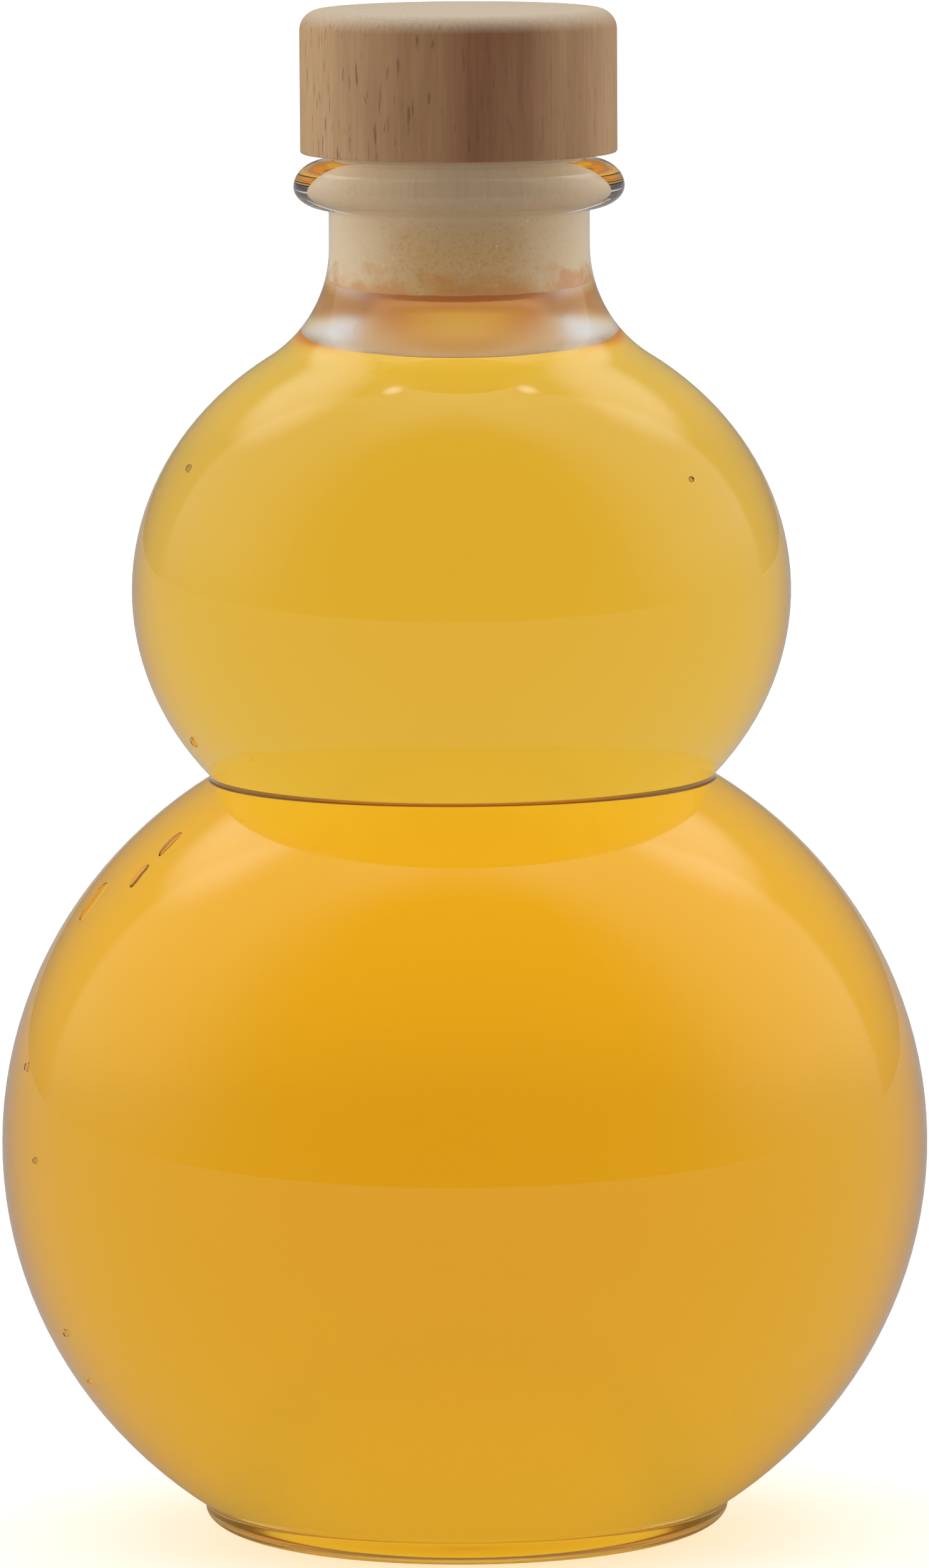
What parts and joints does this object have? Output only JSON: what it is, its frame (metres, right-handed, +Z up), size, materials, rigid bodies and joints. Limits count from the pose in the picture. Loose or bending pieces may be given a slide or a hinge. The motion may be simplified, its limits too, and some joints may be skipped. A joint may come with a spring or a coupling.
{
  "type": "gourd bottle with wooden stopper",
  "caption": "Gourd-shaped clear glass bottle of half a litre, filled with a golden drink and closed by a beech-topped cork stopper that pulls straight out.",
  "frame": {"origin": "middle of the foot, on the plane that the bottle stands on", "axes": "+Z up along the bottle's axis, from the foot to the stopper; the bottle is turned about +Z"},
  "size_m": [0.1, 0.1, 0.1643],
  "materials": {
    "clear_glass": "polished clear soda-lime glass",
    "golden_drink": "slightly cloudy golden liquid",
    "beech": "turned and finely sanded, unvarnished beech",
    "cork": "fine-grained pressed cork",
    "adhesive": "set wood adhesive"
  },
  "bodies": {
    "bottle": {"glass_bottle": "clear_glass", "drink": "golden_drink"},
    "stopper": {"stopper_head": "beech", "stopper_shank": "cork", "stopper_glue": "adhesive"}
  },
  "joints": [
    {"name": "stopper_pull", "type": "slide", "parent": "bottle", "child": "stopper", "axis": [0, 0, 1], "range_m": [0, 0.03]}
  ]
}
